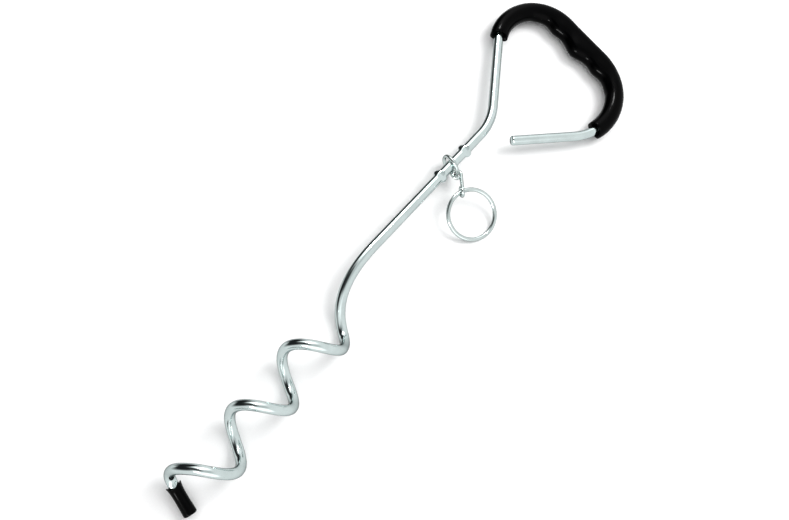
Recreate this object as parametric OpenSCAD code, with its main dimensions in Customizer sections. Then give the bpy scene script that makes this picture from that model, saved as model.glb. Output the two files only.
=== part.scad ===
// Spiral tie-out stake: one bent steel rod with a corkscrew coil and an open triangular handle,
// a ribbed vinyl grip, a vinyl tip cap, and a tether ring hung on a loop that turns round the shank.
// It lies on the floor as it rests: the coil and both corners of the grip touch z = 0.
// +X runs from the coil to the handle, +Z is up, and the origin is on the floor below the middle.

/* [Rod and coil] */
// Diameter of the steel rod
rod_d = 8; // [7:0.5:9]
// Radius of the coil to the middle of the rod
coil_r = 15.75; // [14:0.25:18]
// Rise of the coil in one turn
coil_pitch = 55.75; // [50:0.25:62]
// Angle at which the coil leaves the bent tip, 0 being its leftmost side
coil_from = 60; // [50:1:70]
// Angle at which the coil runs out into the shank
coil_to = 905; // [900:1:920]
// Distance from the middle of the stake back to the start of the coil
coil_back = 237; // [230:1:245]

/* [Shank] */
// Straight length from the coil's run-out to the neck bend
shank_len = 131.8; // [125:0.2:140]
// Distance from the coil's start to the start of the straight shank
shank_from = 216.5; // [210:0.5:222]
// Offset of the shank's start to the left of the coil's axis
shank_side = 17.2; // [15:0.1:20]
// Height of the shank's start above the floor
shank_height = 17.6; // [16:0.05:19]
// Angle by which the shank closes on the coil's axis
shank_yaw = 2; // [0:0.1:4]
// Angle by which the shank drops towards the handle
shank_dip = 2.1; // [1:0.05:3]
// Roll of the handle about the shank
shank_roll = 0.2; // [0:0.05:1]
// Pull on the run-out curve at the coil's end
runout_coil_pull = 38; // [34:1:42]
// Pull on the run-out curve at the shank's end
runout_shank_pull = 67; // [60:1:72]

/* [Stop ears] */
// Place of the lower ears along the shank
ear_low = 79.8; // [75:0.2:84]
// Place of the upper ears along the shank
ear_high = 110.8; // [106:0.2:116]
// Width across a pair of ears
ear_width = 11.6; // [10:0.2:13]
// Radius of each ear's rounded edge
ear_r = 3.75; // [3:0.25:4.5]
// Thickness of an ear
ear_thick = 3; // [2:0.25:4]
// Depth that the press tool bites into the rod
pinch_depth = 0.8; // [0.4:0.1:1.2]
// Radius of the press tool
pinch_r = 9; // [7:0.5:12]

/* [Handle] */
// Radius of the neck bend
neck_r = 47.5; // [40:0.5:55]
// Turn of the neck bend
neck_turn = 34.5; // [30:0.5:40]
// Length of the straight leg from the neck to the left corner
leg_len = 63; // [55:0.5:70]
// Radius of the left corner
left_r = 35.5; // [30:0.5:40]
// Turn of the left corner
left_turn = 130.5; // [120:0.5:135]
// Straight length of the handle's base
base_len = 39.5; // [35:0.5:50]
// Radius of the right corner
right_r = 45; // [40:0.5:50]
// Turn of the right corner
right_turn = 124.5; // [115:0.5:130]
// Length of the straight return leg with the free end
return_len = 55.5; // [45:0.5:65]
// Chamfer on the free end
end_chamfer = 0.8; // [0.3:0.1:1.5]

/* [Grip] */
// Outer radius of the grip at the corners
grip_r = 7.9; // [7.5:0.1:8.5]
// Start of the grip, measured from the start of the left corner
grip_from = 3; // [2:0.5:10]
// End of the grip, measured from the start of the left corner
grip_to = 200; // [190:0.5:208]
// Depth of the swell for the fingers, on the inner side
palm_depth = 7; // [5:0.2:9]
// Depth by which the outer side is flattened for the palm
flat_depth = 1.4; // [0:0.1:2]
// Middle of the swell, measured from the start of the left corner
palm_mid = 102; // [95:1:110]
// Half the length of the swell
palm_half = 57; // [50:1:70]
// Height of the finger ridges
ridge_height = 1.6; // [0.8:0.1:2.4]
// Spacing of the finger ridges
ridge_pitch = 28; // [24:0.5:32]
// Narrowing of the grip at its two mouths
mouth_taper = 0.8; // [0.2:0.1:1.4]
// Length over which the narrowing fades
taper_len = 2.5; // [1.5:0.5:5]

/* [Tip cap] */
// Distance of the cap's mouth behind the coil's start
cap_back = 7.5; // [6:0.1:9]
// Offset of the cap's mouth to the left of the coil's axis
cap_side = 12; // [10:0.1:14]
// Heading of the tip, turned from +X about +Z
cap_heading = -107.5; // [-115:0.5:-100]
// Slope of the tip down to the floor
cap_dip = 6; // [4:0.5:6]
// Height of the cap's mouth above the floor
cap_height = 7.8; // [7.6:0.1:8.5]
// Pull on the bent tip's curve at the cap's end
tip_pull = 13; // [11:0.5:15]
// Pull on the bent tip's curve at the coil's end
tip_coil_pull = 16; // [14:0.5:18]
// Length of the cap
cap_len = 23; // [20:0.5:28]
// Outer radius at the cap's waist
cap_waist_r = 4.7; // [4.6:0.05:5.5]
// Extra radius of the flared mouth
cap_flare = 1.2; // [0.4:0.1:1.4]
// Length over which the flare fades
flare_len = 3; // [1.5:0.5:5]
// Extra radius at the closed end
cap_swell = 0.4; // [0:0.1:0.8]
// Rounding of the closed end
cap_round = 1.5; // [0.5:0.1:2]
// Thickness of the closed end
cap_floor = 2; // [1:0.5:3]
// Gap between the cap's bore and the rod
cap_gap = 0.05; // [0.02:0.01:0.1]
// Length of the ground point inside the cap
point_len = 6; // [4:0.5:9]

/* [Tether] */
// Wire of the loop round the shank
loop_wire = 3; // [2.5:0.1:3.4]
// Radius of the loop to the middle of its wire
loop_r = 8.5; // [8.4:0.1:9]
// Place of the loop along the shank
loop_at = 94.1; // [92:0.1:98]
// Drop of the loop's middle below the shank's axis
loop_drop = 2.8; // [2:0.1:2.8]
// Turn of the loop about its own upright line
loop_skew = -15; // [-18:1:0]
// Wire of the S-hook
hook_wire = 2.8; // [2.5:0.1:3]
// Radius of each eye of the S-hook to the middle of its wire
eye_r = 3.5; // [3.5:0.05:4]
// Distance between the middles of the two eyes
hook_span = 16.2; // [15:0.1:20]
// Heading of the S-hook, turned from +X about +Z
hook_heading = -130; // [-140:1:-120]
// Climb of the S-hook from the loop to the ring
hook_rise = 11.4; // [8:0.1:14]
// Angle through which each eye is closed
eye_turn = 300; // [270:5:310]
// Wire of the tether ring
ring_wire = 3.4; // [3:0.1:3.5]
// Radius of the tether ring to the middle of its wire
ring_r = 19.8; // [18:0.2:23]
// Heading of the tether ring from the eye, turned from +X about +Z
ring_heading = -112; // [-120:1:-105]

/* [Hidden] */
$fn = 64;
sweep_sides = 16;    // sides of the swept coil
grip_sides = 20;     // sides of the swept grip
coil_step = 9;       // degrees between rings of the coil
runout_steps = 16;   // rings along the run-out curve
tip_steps = 10;      // rings along the bent tip
seat_gap = 0.02;     // straight lengths are this much thinner than the bends, and the coil thinner again
seat_len = 0.5;      // length by which each thinner piece reaches into the next
tip_lead = 0.5;      // straight rod showing before the cap's mouth
grip_step = 3.5;     // distance between rings of the grip
point_r = 0.8;       // radius of the blunt end of the point
point_gap = 1;       // space between the point and the end of the cap's bore
knuckle = 0.3;       // extra diameter of the S-hook where its bar meets an eye

rod_r = rod_d / 2;
bar_r = rod_r - seat_gap;
sweep_r = bar_r - seat_gap;
coil_height = coil_r + rod_r;
axis_x = [1, 0, 0];

// turns of a point about the fixed axes
function spun_x(p, a) = [p.x, p.y * cos(a) - p.z * sin(a), p.y * sin(a) + p.z * cos(a)];
function spun_y(p, a) = [p.x * cos(a) + p.z * sin(a), p.y, p.z * cos(a) - p.x * sin(a)];
function spun_z(p, a) = [p.x * cos(a) - p.y * sin(a), p.x * sin(a) + p.y * cos(a), p.z];
function spun(p, turns) = spun_z(spun_y(spun_x(p, turns.x), turns.y), turns.z);
function unit(v) = v / norm(v);

// the shank's own frame: x along the shank, y to the left in the handle's plane
shank_start = [shank_from - coil_back, shank_side, shank_height];
shank_turns = [shank_roll, shank_dip, -shank_yaw];
function in_shank(p) = shank_start + spun(p, shank_turns);
shank_dir = spun(axis_x, shank_turns);

// the coil, right-handed about a line that is parallel to X
function coil_point(a) = [coil_pitch * a / 360 - coil_back, coil_r * cos(a), coil_height + coil_r * sin(a)];
function coil_dir(a) = unit([coil_pitch / (2 * PI), -coil_r * sin(a), coil_r * cos(a)]);

// the straight tip, its cap and the bend between it and the coil
cap_turns = [0, cap_dip, cap_heading];
cap_dir = spun(axis_x, cap_turns);
cap_mouth = [-coil_back - cap_back, cap_side, cap_height];
tip_start = cap_mouth - tip_lead * cap_dir;

function bezier(p0, p1, p2, p3, t) =
    pow(1 - t, 3) * p0 + 3 * pow(1 - t, 2) * t * p1 + 3 * (1 - t) * t * t * p2 + pow(t, 3) * p3;
function curve(p0, d0, p3, d3, pull0, pull3, steps) =
    [for (i = [0:steps]) bezier(p0, p0 + pull0 * d0, p3 - pull3 * d3, p3, i / steps)];
function without_ends(list) = [for (i = [1:len(list) - 2]) list[i]];

tip_curve = curve(tip_start - seat_len * cap_dir, -cap_dir, coil_point(coil_from), coil_dir(coil_from),
                  tip_pull, tip_coil_pull, tip_steps);
coil_turns = ceil((coil_to - coil_from) / coil_step);
coil_curve = [for (i = [0:coil_turns]) coil_point(coil_from + (coil_to - coil_from) * i / coil_turns)];
runout_curve = curve(coil_point(coil_to), coil_dir(coil_to), shank_start, shank_dir,
                     runout_coil_pull, runout_shank_pull, runout_steps);
bent_route = concat(
    [tip_start + seat_len * cap_dir],
    tip_curve,
    without_ends(coil_curve),
    runout_curve,
    [shank_start + 2 * seat_len * shank_dir]);

// ring of points round a route, square to it
function route_dir(route, i) =
    unit(route[min(i + 1, len(route) - 1)] - route[max(i - 1, 0)]);
function ring_points(middle, dir, r, sides) =
    let (across = unit(cross(dir, [0, 0, 1])), over = cross(dir, across))
    [for (j = [0:sides - 1]) middle + r * (cos(360 * j / sides) * across + sin(360 * j / sides) * over)];

// the handle, formed like wire: each step is a straight length, a bend radius and a turn to the left
steps = [
    [shank_len, neck_r, neck_turn],
    [leg_len, left_r, -left_turn],
    [base_len, right_r, -right_turn],
];
// a place on the handle is [x, y, heading] in the shank's frame
function ahead(p, l) = [p.x + l * cos(p.z), p.y + l * sin(p.z), p.z];
function bent(p, r, a) =
    let (side = a < 0 ? -1 : 1)
    [p.x - side * r * (sin(p.z) - sin(p.z + a)), p.y + side * r * (cos(p.z) - cos(p.z + a)), p.z + a];
function after(n) =
    n == 0 ? [0, 0, 0]
    : let (step = steps[n - 1]) bent(ahead(after(n - 1), step[0]), step[1], step[2]);

left_start = ahead(after(1), leg_len);
left_arc = left_r * left_turn * PI / 180;
// the place at a distance s from the start of the left corner
function along(s) =
    s < left_arc ? bent(left_start, left_r, -s / left_r * 180 / PI)
    : s < left_arc + base_len ? ahead(after(2), s - left_arc)
    : bent(ahead(after(2), base_len), right_r, -(s - left_arc - base_len) / right_r * 180 / PI);

// the grip's section: round, with a swell for the fingers inside, flattened outside, narrower at each mouth
function palm_lobe(s) =
    abs(s - palm_mid) < palm_half ? pow(cos(90 * (s - palm_mid) / palm_half), 1.25) : 0;
function swell(s) = palm_lobe(s) * (palm_depth + ridge_height * cos(360 * (s - palm_mid) / ridge_pitch));
function taper(s) = mouth_taper * (exp(-(s - grip_from) / taper_len) + exp(-(grip_to - s) / taper_len));
function grip_radius(s, a) =
    grip_r - taper(s) + swell(s) * pow(max(0, cos(a)), 3)
    - flat_depth * palm_lobe(s) * pow(max(0, -cos(a)), 2);
function grip_ring(s) =
    let (place = along(s), inward = [sin(place.z), -cos(place.z), 0])
    [for (j = [0:grip_sides - 1])
        let (a = -360 * j / grip_sides, r = grip_radius(s, a))
        [place.x, place.y, 0] + r * (cos(a) * inward + [0, 0, sin(a)])];
grip_rings = ceil((grip_to - grip_from) / grip_step);

// the tether: middles of the two eyes of the S-hook, and the ring's slope down to the floor
top_eye = in_shank([loop_at, 0, -loop_drop] + spun_z([0, -loop_r, 0], loop_skew));
low_eye = top_eye + hook_span * spun([1, 0, 0], [0, -hook_rise, hook_heading]);
ring_tilt = asin((low_eye.z - ring_wire / 2 - 0.05) / (2 * ring_r));

// a closed tube through rings of points
module skin(rings) {
    sides = len(rings[0]);
    last = len(rings) - 1;
    walls = [for (i = [0:last - 1], j = [0:sides - 1])
        let (a = i * sides + j, b = i * sides + (j + 1) % sides)
        each [[a, a + sides, b], [b, a + sides, b + sides]]];
    near_end = [for (j = [0:sides - 1]) j];
    far_end = [for (j = [sides - 1:-1:0]) last * sides + j];
    points = [for (ring = rings) each ring];
    polyhedron(points = points, faces = concat([near_end], walls, [far_end]), convexity = 10);
}

module torus(r, wire, turn = 360) {
    rotate_extrude(angle = turn) translate([r, 0]) circle(d = wire);
}

// a straight length that reaches into the bend at its far end, and into the one behind it if there is one
module bar(l, reach_back = seat_len) {
    translate([-reach_back, 0, 0]) rotate([0, 90, 0]) cylinder(h = l + reach_back + seat_len, r = bar_r);
}

// a straight end of the rod, which narrows over its last stretch
module rod_end(l, narrowing, end_r) {
    rotate_extrude() polygon([[0, 0], [bar_r, 0], [bar_r, l - narrowing], [end_r, l], [0, l]]);
}

// a bend that starts at the origin along +X and turns left, or right where the turn is negative
module bend(r, turn) {
    mirror([0, turn < 0 ? 1 : 0, 0])
        translate([0, r, 0]) rotate([0, 0, -90]) torus(r, rod_d, abs(turn));
}

module at_place(p) {
    translate([p.x, p.y, 0]) rotate([0, 0, p.z]) children();
}

module in_shank_frame() {
    translate(shank_start) rotate(shank_turns) children();
}

// the straight lengths and bends from the run-out to the end of the right corner
module formed_rod() {
    for (i = [0:len(steps) - 1]) {
        at_place(after(i)) bar(steps[i][0], i == 0 ? -seat_len : seat_len);
        at_place(ahead(after(i), steps[i][0])) bend(steps[i][1], steps[i][2]);
    }
}

module return_leg() {
    at_place(after(3)) translate([-seat_len, 0, 0]) rotate([0, 90, 0])
        rod_end(return_len + seat_len, end_chamfer, rod_r - end_chamfer);
}

module ears(x) {
    for (side = [-1, 1])
        translate([x, side * (ear_width / 2 - ear_r), 0]) cylinder(h = ear_thick, r = ear_r, center = true);
}

module pinches(x) {
    for (side = [-1, 1])
        translate([x, 0, side * (rod_r + pinch_r - pinch_depth)]) rotate([90, 0, 0])
            cylinder(h = 2 * ear_width, r = pinch_r, center = true);
}

module bent_rod() {
    skin([for (i = [0:len(bent_route) - 1])
        ring_points(bent_route[i], route_dir(bent_route, i), sweep_r, sweep_sides)]);
}

module ground_point() {
    translate(tip_start) rotate(cap_turns) rotate([0, 90, 0])
        rod_end(tip_lead + cap_len - cap_floor - point_gap, point_len, point_r);
}

module stake_rod() {
    color("lightsteelblue") {
        bent_rod();
        ground_point();
        in_shank_frame() {
            difference() {
                union() {
                    formed_rod();
                    ears(ear_low);
                    ears(ear_high);
                }
                pinches(ear_low);
                pinches(ear_high);
            }
            return_leg();
        }
    }
}

module handle_grip() {
    color("dimgray") in_shank_frame() difference() {
        skin([for (i = [0:grip_rings]) grip_ring(grip_from + (grip_to - grip_from) * i / grip_rings)]);
        formed_rod();
    }
}

// radius of the cap's outside at a distance z from its mouth
function cap_edge(z) =
    let (into = max(0, z - cap_len + cap_round))
    cap_waist_r + cap_flare * exp(-z / flare_len) + cap_swell * pow(z / cap_len, 2)
    - cap_round + sqrt(pow(cap_round, 2) - pow(into, 2));

module tip_cap() {
    bore_r = rod_r + cap_gap;
    side = [for (z = [0:1:cap_len - cap_round - 1]) [cap_edge(z), z]];
    end = [for (a = [0:15:90]) let (z = cap_len - cap_round * (1 - sin(a))) [cap_edge(z), z]];
    color("dimgray") translate(cap_mouth) rotate(cap_turns) rotate([0, 90, 0]) difference() {
        rotate_extrude() polygon(concat([[0, 0]], side, end, [[0, cap_len]]));
        translate([0, 0, -1]) cylinder(h = cap_len - cap_floor + 1, r = bore_r);
    }
}

module shank_loop() {
    color("silver") in_shank_frame()
        translate([loop_at, 0, -loop_drop]) rotate([0, 0, loop_skew]) rotate([0, 90, 0])
            torus(loop_r, loop_wire);
}

// the eye at the loop lies flat, and the eye at the ring stands a quarter turn from it
module s_hook() {
    bar_start = [0, eye_r, 0];
    bar_end = [hook_span, 0, eye_r];
    slant = bar_end - bar_start;
    color("silver") translate(top_eye) rotate([0, -hook_rise, hook_heading]) {
        rotate([0, 0, 90]) torus(eye_r, hook_wire, eye_turn);
        translate([hook_span, 0, 0]) rotate([90, 0, 0]) rotate([0, 0, 90 - eye_turn])
            torus(eye_r, hook_wire, eye_turn);
        translate(bar_start) sphere(d = hook_wire + knuckle);
        translate(bar_end) sphere(d = hook_wire + knuckle);
        translate(bar_start)
            rotate([0, acos(slant.z / norm(slant)), atan2(slant.y, slant.x)])
                cylinder(h = norm(slant), d = hook_wire);
    }
}

module tether_ring() {
    color("silver") translate(low_eye) rotate([0, ring_tilt, ring_heading])
        translate([ring_r, 0, 0]) torus(ring_r, ring_wire);
}

stake_rod();
handle_grip();
tip_cap();
shank_loop();
s_hook();
tether_ring();
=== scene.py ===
import math

import bpy
import numpy as np
from mathutils import Matrix, Vector


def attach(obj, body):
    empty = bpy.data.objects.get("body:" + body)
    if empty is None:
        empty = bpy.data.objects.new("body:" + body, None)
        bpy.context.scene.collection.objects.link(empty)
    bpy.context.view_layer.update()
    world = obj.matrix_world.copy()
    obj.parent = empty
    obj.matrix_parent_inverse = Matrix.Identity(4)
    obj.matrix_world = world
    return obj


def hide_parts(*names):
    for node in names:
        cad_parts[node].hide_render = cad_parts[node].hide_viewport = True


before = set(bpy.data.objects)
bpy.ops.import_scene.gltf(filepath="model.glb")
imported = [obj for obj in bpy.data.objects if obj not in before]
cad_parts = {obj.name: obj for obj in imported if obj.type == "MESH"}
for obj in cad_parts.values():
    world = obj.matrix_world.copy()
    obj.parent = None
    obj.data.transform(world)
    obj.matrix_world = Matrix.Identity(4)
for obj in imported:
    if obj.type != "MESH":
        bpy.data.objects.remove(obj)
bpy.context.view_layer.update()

# Lengths are in millimetres up to the point where a mesh is made; MM turns them into metres.
# +X runs from the coil to the handle and +Z is up; the stake lies on the floor at z = 0.
MM = 0.001
X = np.array([1.0, 0.0, 0.0])
Z = np.array([0.0, 0.0, 1.0])

# ---------------------------------------------------------------- driving dimensions

ROD_R = 3.96
COIL_R = 15.75
COIL_PITCH = 55.75
COIL_FROM = 60
COIL_TO = 905
COIL_BACK = 237
COIL_HEIGHT = 19.75

SHANK_START = np.array([-20.5, 17.2, 17.6])
SHANK_TURNS = (0.2, 2.1, -2.0)
RUNOUT_PULLS = (38, 67)

# each step of the handle is a straight length, a bend radius and a turn to the left
STEPS = ((131.8, 47.5, 34.5), (63, 35.5, -130.5), (39.5, 45, -124.5))
RETURN_LEN = 55.5
END_CHAMFER = 0.8

EARS_AT = (79.8, 110.8)
EAR_WIDTH = 11.6
EAR_R = 3.75
PINCH_DEPTH = 0.8
PINCH_R = 9.0

GRIP_R = 7.9
GRIP_FROM = 3
GRIP_TO = 200
PALM_DEPTH = 7
FLAT_DEPTH = 1.4
PALM_MID = 102
PALM_HALF = 57
RIDGE_HEIGHT = 1.6
RIDGE_PITCH = 28
MOUTH_TAPER = 0.8
TAPER_LEN = 2.5

CAP_MOUTH = np.array([-244.5, 12.0, 7.8])
CAP_TURNS = (0, 6, -107.5)
CAP_LEN = 23
CAP_WAIST_R = 4.7
CAP_FLARE = 1.2
FLARE_LEN = 3
CAP_SWELL = 0.4
CAP_ROUND = 1.5
CAP_BORE_R = 4.05
TIP_LEAD = 0.5
TIP_PULLS = (13, 16)

LOOP_AT = 94.1
LOOP_DROP = 2.8
LOOP_SKEW = -15
LOOP_R = 8.5
LOOP_WIRE_R = 1.5
HOOK_WIRE_R = 1.4
EYE_R = 3.5
EYE_TURN = 300
HOOK_SPAN = 16.2
HOOK_TURNS = (0, -11.4, -130)
RING_WIRE_R = 1.7
RING_R = 19.8
RING_HEADING = -112


# ---------------------------------------------------------------- geometry helpers

def turned(point, turns):
    """A point turned about the fixed X, Y and Z axes, in that order, in degrees."""
    x, y, z = (math.radians(t) for t in turns)
    turn = Matrix.Rotation(z, 3, "Z") @ Matrix.Rotation(y, 3, "Y") @ Matrix.Rotation(x, 3, "X")
    return np.array(turn @ Vector(point))


def unit(v):
    return v / np.linalg.norm(v)


def in_shank(point):
    return SHANK_START + turned(point, SHANK_TURNS)


def coil_point(angle):
    a = math.radians(angle)
    return np.array([
        COIL_PITCH * angle / 360 - COIL_BACK,
        COIL_R * math.cos(a),
        COIL_HEIGHT + COIL_R * math.sin(a)])


def coil_dir(angle):
    a = math.radians(angle)
    return unit(np.array([COIL_PITCH / (2 * math.pi), -COIL_R * math.sin(a), COIL_R * math.cos(a)]))


def bezier(p0, d0, p3, d3, pull0, pull3, count):
    """Points along a curve that leaves p0 along d0 and reaches p3 along d3."""
    p1, p2 = p0 + pull0 * d0, p3 - pull3 * d3
    t = np.linspace(0, 1, count)[:, None]
    return (1 - t) ** 3 * p0 + 3 * (1 - t) ** 2 * t * p1 + 3 * (1 - t) * t ** 2 * p2 + t ** 3 * p3


def ahead(place, length):
    x, y, heading = place
    a = math.radians(heading)
    return (x + length * math.cos(a), y + length * math.sin(a), heading)


def bent(place, radius, turn):
    x, y, heading = place
    side = math.copysign(1, turn)
    a, b = math.radians(heading), math.radians(heading + turn)
    return (x - side * radius * (math.sin(a) - math.sin(b)),
            y + side * radius * (math.cos(a) - math.cos(b)), heading + turn)


def corner(n):
    """The place on the handle after its first n steps, as x, y and heading in the shank's frame."""
    place = (0.0, 0.0, 0.0)
    for length, radius, turn in STEPS[:n]:
        place = bent(ahead(place, length), radius, turn)
    return place


def evenly(points, spacing):
    """The same polyline with its points spacing apart."""
    points = np.asarray(points, float)
    lengths = np.r_[0, np.cumsum(np.linalg.norm(np.diff(points, axis=0), axis=1))]
    wanted = np.linspace(0, lengths[-1], max(2, int(lengths[-1] / spacing) + 1))
    return np.stack([np.interp(wanted, lengths, points[:, k]) for k in range(3)], 1)


def directions(route, closed=False):
    """Unit tangents of a route."""
    if closed:
        d = np.roll(route, -1, 0) - np.roll(route, 1, 0)
    else:
        d = np.gradient(route, axis=0)
    return d / np.linalg.norm(d, axis=1)[:, None]


def carried(tangents, start, first_across):
    """Section directions that follow the tangents without twisting, given at one ring of the route."""
    across = np.zeros_like(tangents)
    across[start] = unit(first_across - first_across.dot(tangents[start]) * tangents[start])
    for order in (range(start + 1, len(tangents)), range(start - 1, -1, -1)):
        last = across[start]
        for i in order:
            last = unit(last - last.dot(tangents[i]) * tangents[i])
            across[i] = last
    return across, np.cross(tangents, across)


def tube(name, rings, lengths, closed=False):
    """A mesh through rings of points, with its UV map in metres: u round the section and v along it."""
    rings = np.asarray(rings, float) * MM
    count, sides = rings.shape[:2]
    verts = rings.reshape(-1, 3)
    spans = count if closed else count - 1
    faces = [(i * sides + j, i * sides + (j + 1) % sides,
              (i + 1) % count * sides + (j + 1) % sides, (i + 1) % count * sides + j)
             for i in range(spans) for j in range(sides)]
    if not closed:
        faces.append(tuple(range(sides - 1, -1, -1)))
        faces.append(tuple(range((count - 1) * sides, count * sides)))
    mesh = bpy.data.meshes.new(name)
    mesh.from_pydata(verts.tolist(), [], faces)
    uv = mesh.uv_layers.new(name="along")
    lengths = np.asarray(lengths, float) * MM
    step = lengths[1] - lengths[0]
    girth = float(np.linalg.norm(rings[0] - np.roll(rings[0], 1, 0), axis=1).sum())
    for face in range(spans * sides):
        i, j = divmod(face, sides)
        u0, u1 = j / sides * girth, (j + 1) / sides * girth
        v0, v1 = lengths[i], lengths[i] + (lengths[i + 1] - lengths[i] if i + 1 < count else step)
        for k, value in enumerate(((u0, v0), (u1, v0), (u1, v1), (u0, v1))):
            uv.data[4 * face + k].uv = value
    mesh.validate()
    mesh.update()
    for polygon in mesh.polygons:
        polygon.use_smooth = True
    made = bpy.data.objects.new(name, mesh)
    bpy.context.scene.collection.objects.link(made)
    return made


def add(piece, body, slot, material, *nodes):
    """Puts a piece on its body, in place of its CAD nodes, with its finish."""
    piece.data.materials.clear()
    piece.data.materials.append(material)
    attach(piece, body)
    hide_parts(*nodes)


def arc_lengths(route):
    return np.r_[0, np.cumsum(np.linalg.norm(np.diff(route, axis=0), axis=1))]


# ---------------------------------------------------------------- materials

class Nodes:
    """Short ways to build a material's node tree."""

    def __init__(self, name):
        self.material = bpy.data.materials.new(name)
        self.material.use_nodes = True
        self.tree = self.material.node_tree
        self.shader = self.tree.nodes["Principled BSDF"]

    def add(self, kind, **values):
        node = self.tree.nodes.new(kind)
        for key, value in values.items():
            if hasattr(node, key):
                setattr(node, key, value)
            else:
                node.inputs[key.replace("_", " ")].default_value = value
        return node

    def link(self, source, output, target, socket):
        self.tree.links.new(source.outputs[output], target.inputs[socket])

    def noise(self, scale, detail=3.0, coordinates="Object", stretch=None):
        """A noise texture with its scale in features per metre."""
        place = self.add("ShaderNodeTexCoord")
        texture = self.add("ShaderNodeTexNoise", Scale=scale, Detail=detail)
        if stretch:
            mapping = self.add("ShaderNodeMapping")
            mapping.inputs["Scale"].default_value = stretch
            self.link(place, coordinates, mapping, "Vector")
            self.link(mapping, "Vector", texture, "Vector")
        else:
            self.link(place, coordinates, texture, "Vector")
        return texture

    def ramp(self, source, output, *stops):
        """A colour ramp; each stop is a position and a grey level or a colour."""
        ramp = self.add("ShaderNodeValToRGB")
        while len(ramp.color_ramp.elements) < len(stops):
            ramp.color_ramp.elements.new(0.5)
        for element, (position, colour) in zip(ramp.color_ramp.elements, stops):
            element.position = position
            element.color = (*colour, 1) if isinstance(colour, tuple) else (colour, colour, colour, 1)
        self.link(source, output, ramp, "Fac")
        return ramp

    def bump(self, source, output, strength, distance, under=None):
        node = self.add("ShaderNodeBump", Strength=strength, Distance=distance)
        self.link(source, output, node, "Height")
        if under:
            self.link(under, "Normal", node, "Normal")
        return node


def plated(name, bright, dull, smooth, rough, edge):
    """Bright plate over drawn steel: draw lines along the wire, soft clouding and small pits.

    smooth and rough are the roughness of its cleanest and its most smeared places, and edge is the
    grey that it keeps where it is seen at a grazing angle."""
    m = Nodes(name)
    m.shader.inputs["Metallic"].default_value = 1.0
    m.shader.inputs["Specular Tint"].default_value = (edge, edge, edge, 1)
    clouds = m.noise(scale=90, detail=4)
    tint = m.ramp(clouds, "Fac", (0.35, dull), (0.65, bright))
    m.link(tint, "Color", m.shader, "Base Color")
    smears = m.noise(scale=220, detail=5)
    shine = m.ramp(smears, "Fac", (0.3, smooth), (0.75, rough))
    m.link(shine, "Color", m.shader, "Roughness")
    lines = m.noise(scale=1, detail=2, coordinates="UV", stretch=(9000, 60, 1))
    pits = m.noise(scale=1400, detail=2)
    pit_depth = m.ramp(pits, "Fac", (0.27, 0.0), (0.33, 1.0))
    drawn = m.bump(lines, "Fac", strength=0.10, distance=0.00002)
    pitted = m.bump(pit_depth, "Color", strength=0.12, distance=0.00004, under=drawn)
    m.link(pitted, "Normal", m.shader, "Normal")
    return m.material


# roughness of the vinyl where hands polish it and where they leave it dull
HANDLED = 0.10
DULLED = 0.21
VINYL_SPECULAR = 0.04


def vinyl(name, colour, worn, grain):
    """Glossy black vinyl: a fine orange-peel skin, faint scuffs and duller patches from handling.

    grain is the scale of the orange peel, in features per metre."""
    m = Nodes(name)
    scuffs = m.noise(scale=60, detail=6)
    tone = m.ramp(scuffs, "Fac", (0.45, colour), (0.8, worn))
    m.link(tone, "Color", m.shader, "Base Color")
    patches = m.noise(scale=45, detail=4)
    shine = m.ramp(patches, "Fac", (0.3, HANDLED), (0.75, DULLED))
    m.link(shine, "Color", m.shader, "Roughness")
    m.shader.inputs["Specular IOR Level"].default_value = VINYL_SPECULAR
    peel = m.noise(scale=grain, detail=2)
    swells = m.noise(scale=160, detail=2)
    skin = m.bump(peel, "Fac", strength=0.18, distance=0.00006)
    uneven = m.bump(swells, "Fac", strength=0.15, distance=0.0003, under=skin)
    m.link(uneven, "Normal", m.shader, "Normal")
    return m.material


def paper(name):
    """The pale floor: an even matte sweep with a faint tooth."""
    m = Nodes(name)
    tooth = m.noise(scale=900, detail=3)
    tone = m.ramp(tooth, "Fac", (0.3, (0.90, 0.90, 0.905)), (0.7, (0.93, 0.93, 0.93)))
    m.link(tone, "Color", m.shader, "Base Color")
    m.shader.inputs["Roughness"].default_value = 0.9
    m.shader.inputs["Specular IOR Level"].default_value = 0.1
    skin = m.bump(tooth, "Fac", strength=0.05, distance=0.00005)
    m.link(skin, "Normal", m.shader, "Normal")
    return m.material


rod_plating = plated("rod_plating", (0.655, 0.735, 0.73), (0.595, 0.67, 0.665), 0.09, 0.17, 0.30)
wire_plating = plated("wire_plating", (0.63, 0.70, 0.69), (0.55, 0.61, 0.60), 0.08, 0.17, 0.08)
grip_vinyl = vinyl("grip_vinyl", (0.0004, 0.0004, 0.0005), (0.0014, 0.0015, 0.0017), 2600)
cap_vinyl = vinyl("cap_vinyl", (0.0005, 0.0005, 0.0006), (0.0016, 0.0017, 0.0019), 2200)


# ---------------------------------------------------------------- the bent rod

ROD_SIDES = 56
ROD_SPACING = 1.0
EAR_SPACING = 0.25
EAR_REACH = 6
EAR_SHARPNESS = 8
INSIDE_CAP = 12
TIP_POINTS = 60
COIL_STEP = 2
RUNOUT_POINTS = 90
CAP_DIR = turned(X, CAP_TURNS)
SHANK_DIR = turned(X, SHANK_TURNS)


def handle_route():
    """Points of the shank and handle, from the run-out's end to the free end."""
    points = []
    for n, (length, radius, turn) in enumerate(STEPS):
        start = corner(n)
        points += [ahead(start, s) for s in np.arange(0, length, ROD_SPACING)]
        bend_start = ahead(start, length)
        bend_steps = int(abs(math.radians(turn)) * radius / ROD_SPACING)
        points += [bent(bend_start, radius, turn * i / bend_steps) for i in range(bend_steps)]
    points += [ahead(corner(len(STEPS)), s) for s in np.linspace(0, RETURN_LEN, int(RETURN_LEN))]
    return np.array([in_shank((x, y, 0)) for x, y, _ in points])


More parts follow.
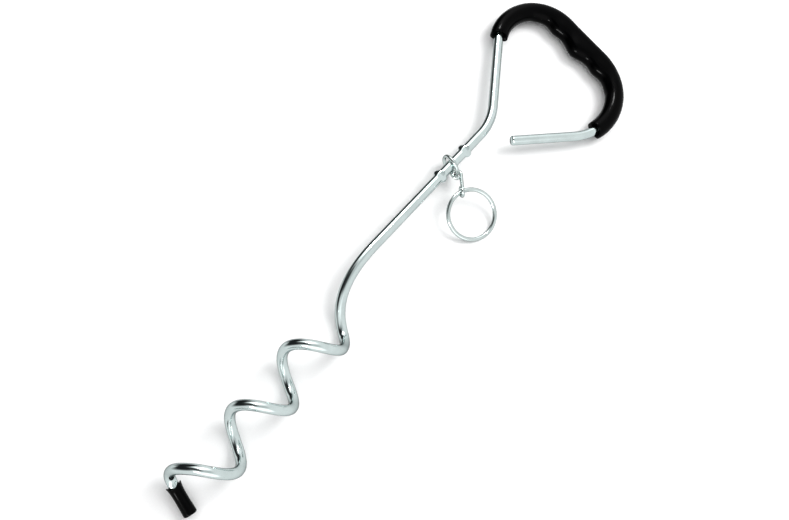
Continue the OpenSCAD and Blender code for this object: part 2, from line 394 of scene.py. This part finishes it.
def bent_route():
    """Points from inside the cap, round the tip and the coil, to the end of the run-out."""
    tip_start = CAP_MOUTH - TIP_LEAD * CAP_DIR
    inside_cap = [CAP_MOUTH + INSIDE_CAP * CAP_DIR, tip_start]
    tip = bezier(tip_start, -CAP_DIR, coil_point(COIL_FROM), coil_dir(COIL_FROM), *TIP_PULLS, TIP_POINTS)
    coil = [coil_point(a) for a in np.arange(COIL_FROM, COIL_TO, COIL_STEP)]
    runout = bezier(coil_point(COIL_TO), coil_dir(COIL_TO), SHANK_START, SHANK_DIR,
                    *RUNOUT_PULLS, RUNOUT_POINTS)
    return np.concatenate([inside_cap, tip[1:], coil[1:], runout])


def ear_reach(distance):
    """How far an ear stands out of the rod at a distance along it from the ear's middle."""
    reach = EAR_WIDTH / 2 - EAR_R + math.sqrt(max(0.0, EAR_R ** 2 - distance ** 2)) - ROD_R
    return max(0.0, reach) if abs(distance) < EAR_R else 0.0


def rod_section(along_shank, angles):
    """Across and over offsets of one ring: round, but pressed flat with two ears at the stops."""
    across, over = ROD_R * np.cos(angles), ROD_R * np.sin(angles)
    for at in EARS_AT:
        distance = along_shank - at
        if abs(distance) < 2 * EAR_R:
            wing = ear_reach(distance)
            across = across + np.sign(across) * wing * np.abs(np.cos(angles)) ** EAR_SHARPNESS
            bite = PINCH_DEPTH - distance ** 2 / (2 * PINCH_R)
            if bite > 0:
                over = np.clip(over, -(ROD_R - bite), ROD_R - bite)
    return across, over


def bent_rod():
    to_shank = evenly(bent_route(), ROD_SPACING)
    whole = np.concatenate([to_shank[:-1], handle_route()])
    lengths = arc_lengths(whole)
    shank_from = lengths[len(to_shank) - 1]
    # closer rings across the stop ears
    dense = [np.arange(shank_from + at - EAR_REACH, shank_from + at + EAR_REACH, EAR_SPACING)
             for at in EARS_AT]
    wanted = np.unique(np.concatenate([lengths, *dense]))
    route = np.stack([np.interp(wanted, lengths, whole[:, k]) for k in range(3)], 1)
    tangents = directions(route)
    start = int(np.searchsorted(wanted, shank_from)) + 1
    across, over = carried(tangents, start, turned((0, 1, 0), SHANK_TURNS))
    angles = np.linspace(0, 2 * math.pi, ROD_SIDES, endpoint=False)
    rings = []
    for i, middle in enumerate(route):
        a, o = rod_section(wanted[i] - shank_from, angles)
        left = wanted[-1] - wanted[i]
        if left < END_CHAMFER:
            trim = 1 - (END_CHAMFER - left) / ROD_R
            a, o = a * trim, o * trim
        rings.append(middle + a[:, None] * across[i] + o[:, None] * over[i])
    return tube("bent_rod", rings, wanted)


add(bent_rod(), "stake", "rod_plating", rod_plating, "stake_rod")


# ---------------------------------------------------------------- the grip

GRIP_SIDES = 96
GRIP_SPACING = 0.8
LIP_R = 0.7
LIP_STEPS = 9
MOUTH_LOBE = 1.5
MOUTH_CUT = 0.3
MOUTH_FADE = 3.0
MOUTH_DEPTHS = (0.8, 1.6, 2.6, 4.0, 6.0)
MOUTH_NARROWING = 0.8
MOUTH_GAP = 0.1
PALM_BLUNTNESS = 1.25
MOUTH_INSET = LIP_R + MOUTH_LOBE


def grip_place(s):
    """The place at a distance s from the start of the left corner."""
    (_, left_r, left_turn), (base_len, right_r, _) = STEPS[1], STEPS[2]
    left_arc = left_r * math.radians(abs(left_turn))
    if s < left_arc:
        return bent(ahead(corner(1), STEPS[1][0]), left_r, -math.degrees(s / left_r))
    if s < left_arc + base_len:
        return ahead(corner(2), s - left_arc)
    return bent(ahead(corner(2), base_len), right_r, -math.degrees((s - left_arc - base_len) / right_r))


def palm_lobe(s):
    """How much of the palm's swelling there is at a distance s along the grip, from 0 to 1."""
    x = (s - PALM_MID) / PALM_HALF
    return math.cos(math.pi / 2 * x) ** PALM_BLUNTNESS if abs(x) < 1 else 0.0


def grip_radius(s, angles):
    """Radius of the grip's skin at each angle from the inner side, at a distance s along it."""
    lobe = palm_lobe(s)
    ridges = RIDGE_HEIGHT * math.cos(2 * math.pi * (s - PALM_MID) / RIDGE_PITCH)
    taper = MOUTH_TAPER * (math.exp(-(s - GRIP_FROM) / TAPER_LEN) + math.exp(-(GRIP_TO - s) / TAPER_LEN))
    inner, outer = np.maximum(0, np.cos(angles)), np.maximum(0, -np.cos(angles))
    return GRIP_R - taper + lobe * (PALM_DEPTH + ridges) * inner ** 3 - FLAT_DEPTH * lobe * outer ** 2


def grip():
    """The outer skin from end to end, with a lip at each mouth that turns back inside along the rod."""
    angles = np.linspace(0, 2 * math.pi, GRIP_SIDES, endpoint=False)
    # the mouths are cut to a curve: they reach furthest along the rod at its inner and outer sides
    reach = MOUTH_LOBE * (np.abs(np.cos(angles)) ** 3 - MOUTH_CUT * np.abs(np.sin(angles)) ** 2)

    def ring(s, radius, shift):
        """One ring of points at a distance s, each moved along the grip by its own shift."""
        x, y, heading = grip_place(s)
        h = math.radians(heading)
        inward = np.array([math.sin(h), -math.cos(h), 0])
        forward = np.array([math.cos(h), math.sin(h), 0])
        points = (np.array([x, y, 0]) + shift[:, None] * forward
                  + radius[:, None] * (np.cos(angles)[:, None] * inward - np.sin(angles)[:, None] * Z))
        return np.array([in_shank(p) for p in points])

    def mouth(s, sign):
        """Rings round the lip and back into the mouth, from the outside in."""
        outer = grip_radius(s, angles)
        rings = [ring(s + sign * LIP_R * math.cos(math.radians(t)),
                      outer - LIP_R + LIP_R * math.sin(math.radians(t)), sign * reach)
                 for t in np.linspace(90, -90, LIP_STEPS)]
        bore = ROD_R + MOUTH_GAP
        for back in MOUTH_DEPTHS:
            radius = bore + (outer - 2 * LIP_R - bore) * math.exp(-back / MOUTH_NARROWING)
            rings.append(ring(s - sign * back, radius, sign * reach * math.exp(-back / MOUTH_FADE)))
        return rings

    body = []
    near_end, far_end = GRIP_FROM + MOUTH_INSET, GRIP_TO - MOUTH_INSET
    for s in np.linspace(near_end, far_end, int((far_end - near_end) / GRIP_SPACING)):
        fade = math.exp(-(far_end - s) / MOUTH_FADE) - math.exp(-(s - near_end) / MOUTH_FADE)
        body.append(ring(s, grip_radius(s, angles), reach * fade))
    rows = mouth(near_end, -1)[::-1] + body[1:-1] + mouth(far_end, 1)
    return tube("grip", rows, np.arange(len(rows)) * GRIP_SPACING)


add(grip(), "stake", "grip_vinyl", grip_vinyl, "handle_grip")


# ---------------------------------------------------------------- the tip cap

CAP_SIDES = 72
CAP_SPACING = 0.5
CAP_LIP_R = 0.45
CAP_LIP_STEPS = 9
CAP_LOBE = 1.2
CAP_LOBE_FADE = 2.5
CAP_BORE_DEPTH = 8
CAP_BORE_FLARE = 0.5
CAP_BORE_FADE = 1.2
CAP_ROUND_STEPS = 10
CAP_CROWN = 0.25
CAP_CROWN_SHARES = (0.7, 0.4, 0.1)


def cap_edge(z):
    """Outer radius of the cap at a distance z from its mouth."""
    into = max(0.0, z - CAP_LEN + CAP_ROUND)
    return (CAP_WAIST_R + CAP_FLARE * math.exp(-z / FLARE_LEN) + CAP_SWELL * (z / CAP_LEN) ** 2
            - CAP_ROUND + math.sqrt(max(0.0, CAP_ROUND ** 2 - into ** 2)))


def cap():
    """The cap from its bore, round the lip, along the outside and over the closed end."""
    angles = np.linspace(0, 2 * math.pi, CAP_SIDES, endpoint=False)
    profile = []
    for z in np.arange(CAP_BORE_DEPTH, CAP_LIP_R, -CAP_SPACING):
        profile.append((CAP_BORE_R + CAP_BORE_FLARE * math.exp(-z / CAP_BORE_FADE), z))
    lip_middle = cap_edge(CAP_LIP_R) - CAP_LIP_R
    for t in np.linspace(-90, 90, CAP_LIP_STEPS):
        profile.append((lip_middle + CAP_LIP_R * math.sin(math.radians(t)),
                        CAP_LIP_R - CAP_LIP_R * math.cos(math.radians(t))))
    for z in np.arange(2 * CAP_SPACING, CAP_LEN - CAP_ROUND, CAP_SPACING):
        profile.append((cap_edge(z), z))
    for t in np.linspace(0, 90, CAP_ROUND_STEPS):
        z = CAP_LEN - CAP_ROUND + CAP_ROUND * math.sin(math.radians(t))
        profile.append((cap_edge(z), z))
    for share in CAP_CROWN_SHARES:
        profile.append((cap_edge(CAP_LEN) * share, CAP_LEN + CAP_CROWN * (1 - share)))
    side, up = turned((0, 1, 0), CAP_TURNS), turned(Z, CAP_TURNS)
    rows = []
    for radius, z in profile:
        lobes = CAP_LOBE * math.exp(-max(0.0, z) / CAP_LOBE_FADE) * np.cos(2 * angles)
        ring = (CAP_MOUTH + (z - lobes)[:, None] * CAP_DIR
                + radius * (np.cos(angles)[:, None] * side + np.sin(angles)[:, None] * up))
        rows.append(ring)
    return tube("tip_cap_sleeve", rows, arc_lengths(np.array([[r, z, 0] for r, z in profile])))


add(cap(), "cap", "cap_vinyl", cap_vinyl, "tip_cap")


# ---------------------------------------------------------------- loop, hook and ring

WIRE_SIDES = 32
LOOP_POINTS = 160
EYE_POINTS = 90
RING_POINTS = 220
HOOK_SPACING = 0.3
HOOK_EASING = 8
HOOK_CHAMFER = 0.35
RING_LIFT = 0.05


def wire_tube(name, route, radius, closed=False, chamfer=0.0, up=Z):
    """Round wire along a route, with a chamfer on its cut ends."""
    tangents = directions(route, closed)
    across, over = carried(tangents, 0, up if abs(unit(up).dot(tangents[0])) < 0.9 else X)
    angles = np.linspace(0, 2 * math.pi, WIRE_SIDES, endpoint=False)
    lengths = arc_lengths(route)
    rings = []
    for i, middle in enumerate(route):
        r = radius
        if chamfer:
            left = min(lengths[i], lengths[-1] - lengths[i])
            r = radius - max(0.0, chamfer - left)
        rings.append(middle + r * (np.cos(angles)[:, None] * across[i] + np.sin(angles)[:, None] * over[i]))
    return tube(name, rings, lengths, closed)


def circle(middle, first, second, radius, start, turn, count):
    """Points on an arc from a start angle through a turn, between two square directions."""
    a = np.radians(np.linspace(start, start + turn, count, endpoint=abs(turn) < 360))
    return middle + radius * (np.cos(a)[:, None] * first + np.sin(a)[:, None] * second)


TOP_EYE = in_shank(np.array([LOOP_AT, 0, -LOOP_DROP]) + turned((0, -LOOP_R, 0), (0, 0, LOOP_SKEW)))
LOW_EYE = TOP_EYE + HOOK_SPAN * turned(X, HOOK_TURNS)
RING_TILT = math.degrees(math.asin((LOW_EYE[2] - RING_WIRE_R - RING_LIFT) / (2 * RING_R)))


def shank_loop():
    middle = in_shank((LOOP_AT, 0, -LOOP_DROP))
    first = turned(turned((0, 1, 0), (0, 0, LOOP_SKEW)), SHANK_TURNS)
    second = turned(Z, SHANK_TURNS)
    route = circle(middle, first, second, LOOP_R, 0, 360, LOOP_POINTS)
    return wire_tube("shank_loop_wire", route, LOOP_WIRE_R, True, up=unit(SHANK_DIR))


def s_hook():
    """An eye that lies flat round the loop, a bar, and an eye that stands up round the ring."""
    ahead_dir, side, up = (turned(v, HOOK_TURNS) for v in (X, (0, 1, 0), Z))
    first_eye = circle(TOP_EYE, ahead_dir, side, EYE_R, 90 + EYE_TURN, -EYE_TURN, EYE_POINTS)
    second_eye = circle(LOW_EYE, ahead_dir, up, EYE_R, 90, -EYE_TURN, EYE_POINTS)
    route = evenly(np.concatenate([first_eye, second_eye]), HOOK_SPACING)
    # the corners between the bar and the eyes are eased, as bent wire is
    for _ in range(HOOK_EASING):
        eased = (route[:-2] + 2 * route[1:-1] + route[2:]) / 4
        route = np.concatenate([route[:1], eased, route[-1:]])
    return wire_tube("s_hook_wire", route, HOOK_WIRE_R, chamfer=HOOK_CHAMFER)


def tether_ring():
    turns = (0, RING_TILT, RING_HEADING)
    first, second = turned(X, turns), turned((0, 1, 0), turns)
    middle = LOW_EYE + RING_R * first
    route = circle(middle, first, second, RING_R, 0, 360, RING_POINTS)
    return wire_tube("tether_ring_wire", route, RING_WIRE_R, True, up=turned(Z, turns))


add(shank_loop(), "loop", "wire_plating", wire_plating, "shank_loop")
add(s_hook(), "hook", "wire_plating", wire_plating, "s_hook")
add(tether_ring(), "ring", "wire_plating", wire_plating, "tether_ring")


# ---------------------------------------------------------------- floor, lights and camera

# the floor, the lights and the camera are placed in metres
FLOOR_REACH = 6.0
# millimetres, as is the lens
SENSOR_WIDTH = 36
# sockets of a colour mix: its two colours and its result
MIX_FROM, MIX_TO, MIXED = 6, 7, 2


def floor():
    r = FLOOR_REACH
    mesh = bpy.data.meshes.new("floor")
    mesh.from_pydata([(-r, -r, 0), (r, -r, 0), (r, r, 0), (-r, r, 0)], [], [(0, 1, 2, 3)])
    made = bpy.data.objects.new("floor", mesh)
    made.data.materials.append(paper("floor_paper"))
    # left out of reflections, so that the plating mirrors the studio's lower half and its dark panel, which
    # is a painted reflection of the paper's shade beside the stake
    made.visible_glossy = False
    bpy.context.scene.collection.objects.link(made)


def toward(azimuth, elevation):
    """Unit vector to a place in the studio, from its bearing about +Z and its height above the floor."""
    a, e = math.radians(azimuth), math.radians(elevation)
    return Vector((math.cos(e) * math.cos(a), math.cos(e) * math.sin(a), math.sin(e)))


def softbox(name, azimuth, elevation, distance, width, height, power):
    """A large light that falls on the floor but isn't mirrored; the plating mirrors the studio."""
    light = bpy.data.lights.new(name, "AREA")
    light.shape = "RECTANGLE"
    light.size, light.size_y = width, height
    light.energy = power
    made = bpy.data.objects.new(name, light)
    made.location = toward(azimuth, elevation) * distance
    made.rotation_mode = "QUATERNION"
    made.rotation_quaternion = (-toward(azimuth, elevation)).to_track_quat("-Z", "Y")
    made.visible_glossy = False
    bpy.context.scene.collection.objects.link(made)


CAMERA_PLACE = Vector((-0.2121, -0.0452, 0.63175))
CAMERA_FORWARD = Vector((0.2988, 0.0674, -0.9519)).normalized()
CAMERA_UP = Vector((0.7216, 0.6368, 0.2716))
CAMERA_LENS = 38.8


def camera():
    data = bpy.data.cameras.new("camera")
    data.lens = CAMERA_LENS
    data.sensor_width = SENSOR_WIDTH
    made = bpy.data.objects.new("camera", data)
    right = CAMERA_FORWARD.cross(CAMERA_UP).normalized()
    up = right.cross(CAMERA_FORWARD)
    turn = Matrix((right, up, -CAMERA_FORWARD)).transposed()
    made.matrix_world = Matrix.Translation(CAMERA_PLACE) @ turn.to_4x4()
    bpy.context.scene.collection.objects.link(made)
    bpy.context.scene.camera = made


def studio(walls, panels):
    """The room round the stake: pale walls, with panels that the plating and the vinyl mirror.

    Each panel is a bearing, a height, an inner and an outer angular radius, its colour, and how
    many times wider than high it is."""
    world = bpy.data.worlds.new("studio")
    world.use_nodes = True
    bpy.context.scene.world = world
    world.cycles_visibility.diffuse = False
    tree = world.node_tree
    where = tree.nodes.new("ShaderNodeTexCoord")
    colour = tree.nodes.new("ShaderNodeRGB")
    colour.outputs[0].default_value = (*walls, 1)
    last = colour.outputs[0]
    for azimuth, elevation, inner, outer, shade, squash in panels:
        flatter = Vector((1, 1, squash))
        stretched = tree.nodes.new("ShaderNodeVectorMath")
        stretched.operation = "MULTIPLY"
        stretched.inputs[1].default_value = flatter
        tree.links.new(where.outputs["Generated"], stretched.inputs[0])
        looking = tree.nodes.new("ShaderNodeVectorMath")
        looking.operation = "NORMALIZE"
        tree.links.new(stretched.outputs["Vector"], looking.inputs[0])
        facing = tree.nodes.new("ShaderNodeVectorMath")
        facing.operation = "DOT_PRODUCT"
        facing.inputs[1].default_value = (toward(azimuth, elevation) * flatter).normalized()
        tree.links.new(looking.outputs["Vector"], facing.inputs[0])
        edge = tree.nodes.new("ShaderNodeMapRange")
        edge.interpolation_type = "SMOOTHSTEP"
        edge.inputs["From Min"].default_value = math.cos(math.radians(outer))
        edge.inputs["From Max"].default_value = math.cos(math.radians(inner))
        tree.links.new(facing.outputs["Value"], edge.inputs["Value"])
        mix = tree.nodes.new("ShaderNodeMix")
        mix.data_type = "RGBA"
        tree.links.new(edge.outputs["Result"], mix.inputs["Factor"])
        tree.links.new(last, mix.inputs[MIX_FROM])
        mix.inputs[MIX_TO].default_value = (*shade, 1)
        last = mix.outputs[MIXED]
    tree.links.new(last, tree.nodes["Background"].inputs["Color"])


WALLS = (0.97, 0.985, 0.985)
CEILING = (0.66, 0.68, 0.68)
DARK = (0.015, 0.017, 0.018)
GREY = (0.15, 0.16, 0.16)
WHITE = (1.9, 1.9, 1.9)
LAMP = (110.0, 110.0, 110.0)
GLINT = (45.0, 45.0, 45.0)

floor()
studio(WALLS, [
    (0, 90, 5, 30, CEILING, 1),
    (50, 42, 8, 32, WHITE, 1),
    (218, 35, 8, 36, WHITE, 1),
    (135, 66, 2, 18, GREY, 1),
    (110, 50, 6, 26, DARK, 1),
    (120, 18, 14, 42, DARK, 1),
    (85, 3, 30, 48, DARK, 3),
    # painted shade: this dark panel below the horizon stands in for the shaded paper beside the stake in
    # the plating's reflections
    (72, -12, 10, 30, DARK, 1),
    (57, 48, 2, 6, LAMP, 1),
    (178, 36, 2, 7, GLINT, 1),
])
softbox("key", -20, 45, 2.5, 1.2, 1.5, 44)
softbox("fill", 60, 85, 3.0, 7.0, 7.0, 215)
camera()
bpy.context.scene.view_settings.view_transform = "Standard"
